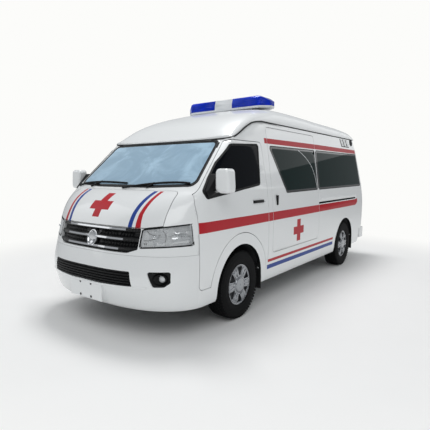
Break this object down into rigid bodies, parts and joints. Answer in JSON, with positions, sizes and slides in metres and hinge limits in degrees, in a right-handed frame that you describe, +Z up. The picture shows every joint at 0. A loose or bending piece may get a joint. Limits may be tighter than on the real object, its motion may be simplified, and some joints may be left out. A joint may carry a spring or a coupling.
{
  "type": "ambulance",
  "caption": "High-roof van ambulance with roof light bar, sliding side door, swinging cab doors, lifting tailgate and bonnet, and steered wheels.",
  "frame": {"origin": "on the ground under the middle of the vehicle's length and width", "axes": "+X to the vehicle's left, +Y to its rear (the front faces -Y), +Z up"},
  "size_m": [2.2098, 5.3825, 2.3883],
  "materials": {
    "body_white": "gloss",
    "roof_white": "gloss",
    "bumper_white": "gloss",
    "windscreen_glass": "clear",
    "dark_glass": "tinted",
    "black_plastic": "satin",
    "chrome_trim": "polished",
    "lamp_clear": "clear",
    "lamp_reflector": "polished",
    "lamp_red": "gloss",
    "lamp_blue": "gloss",
    "lamp_grey": "gloss",
    "tyre_rubber": "matte",
    "wheel_silver": "satin",
    "flap_rubber": "matte",
    "chassis_black": "satin",
    "cast_metal": "raw",
    "seat_cover": "woven",
    "inside_plastic": "grained",
    "panel_grey": "smooth"
  },
  "bodies": {
    "body": {"front_bumper": "bumper_white", "front_panel": "body_white", "side_panel_left": "body_white", "side_panel_right": "body_white", "sliding_door": "body_white", "tail_lamps": "lamp_red", "windscreen": "windscreen_glass", "side_glass": "dark_glass", "grille": "black_plastic", "grille_bars": "chrome_trim", "lower_grille": "black_plastic", "fog_lamps": "black_plastic", "headlamp_lenses": "lamp_clear", "headlamps": "lamp_reflector", "sliding_door_handle": "black_plastic", "roof": "roof_white", "light_bar": "lamp_grey", "light_bar_lenses": "lamp_blue", "rear_bumper": "bumper_white", "front_suspension": "chassis_black", "chassis_frame": "chassis_black", "engine_block": "cast_metal", "rear_axle": "cast_metal", "leaf_springs": "chassis_black", "fuel_tank": "chassis_black", "exhaust": "cast_metal", "mud_flaps": "flap_rubber", "wheelhouses": "black_plastic", "floor_pan": "panel_grey", "partition": "panel_grey", "dashboard": "inside_plastic", "seat_frames": "inside_plastic", "seats": "seat_cover", "wipers": "black_plastic"},
    "door_left": {"front_door_left": "body_white", "door_glass_left": "dark_glass", "door_handle_left": "black_plastic", "mirror_left": "body_white"},
    "door_right": {"front_door_right": "body_white", "door_glass_right": "dark_glass", "door_handle_right": "black_plastic", "mirror_right": "body_white"},
    "rear_door": {"tailgate": "body_white", "tailgate_glass": "dark_glass"},
    "bonnet": {"bonnet": "body_white"},
    "steering_wheel": {"steering_wheel": "black_plastic"},
    "knuckle_left": {"knuckle_left": "cast_metal"},
    "knuckle_right": {"knuckle_right": "cast_metal"},
    "wheel_front_left": {"tyre_front_left": "tyre_rubber", "wheel_front_left": "wheel_silver"},
    "wheel_front_right": {"tyre_front_right": "tyre_rubber", "wheel_front_right": "wheel_silver"},
    "wheel_rear_left": {"tyre_rear_left": "tyre_rubber", "wheel_rear_left": "wheel_silver"},
    "wheel_rear_right": {"tyre_rear_right": "tyre_rubber", "wheel_rear_right": "wheel_silver"}
  },
  "joints": [
    {"name": "front_door_left", "type": "hinge", "parent": "body", "child": "door_left", "pos_m": [0.93, -2.187, 0.8], "axis": [0, 0, -1], "range_deg": [0, 65]},
    {"name": "front_door_right", "type": "hinge", "parent": "body", "child": "door_right", "pos_m": [-0.93, -2.187, 0.8], "axis": [0, 0, 1], "range_deg": [0, 65]},
    {"name": "tailgate", "type": "hinge", "parent": "body", "child": "rear_door", "pos_m": [0, 2.36, 1.98], "axis": [1, 0, 0], "range_deg": [0, 85]},
    {"name": "bonnet", "type": "hinge", "parent": "body", "child": "bonnet", "pos_m": [0, -2.188, 1.291], "axis": [-1, 0, 0], "range_deg": [0, 50]},
    {"name": "steering_left", "type": "hinge", "parent": "body", "child": "knuckle_left", "pos_m": [0.745, -1.5, 0.345], "axis": [0, 0, 1], "range_deg": [-30, 30]},
    {"name": "steering_right", "type": "hinge", "parent": "body", "child": "knuckle_right", "pos_m": [-0.745, -1.5, 0.345], "axis": [0, 0, 1], "range_deg": [-30, 30]},
    {"name": "steering_wheel", "type": "hinge", "parent": "body", "child": "steering_wheel", "pos_m": [-0.4, -1.65, 1.185], "axis": [0, 0.6157, 0.788], "range_deg": [-485, 485]},
    {"name": "wheel_front_left", "type": "hinge", "parent": "knuckle_left", "child": "wheel_front_left", "pos_m": [0.827, -1.5, 0.345], "axis": [1, 0, 0], "continuous": true},
    {"name": "wheel_rear_left", "type": "hinge", "parent": "body", "child": "wheel_rear_left", "pos_m": [0.827, 1.61, 0.345], "axis": [1, 0, 0], "continuous": true},
    {"name": "wheel_front_right", "type": "hinge", "parent": "knuckle_right", "child": "wheel_front_right", "pos_m": [-0.827, -1.5, 0.345], "axis": [1, 0, 0], "continuous": true},
    {"name": "wheel_rear_right", "type": "hinge", "parent": "body", "child": "wheel_rear_right", "pos_m": [-0.827, 1.61, 0.345], "axis": [1, 0, 0], "continuous": true}
  ],
  "couplings": [
    {"joint": "steering_right", "follows": "steering_left", "ratio": 1},
    {"joint": "steering_wheel", "follows": "steering_left", "ratio": 16}
  ]
}
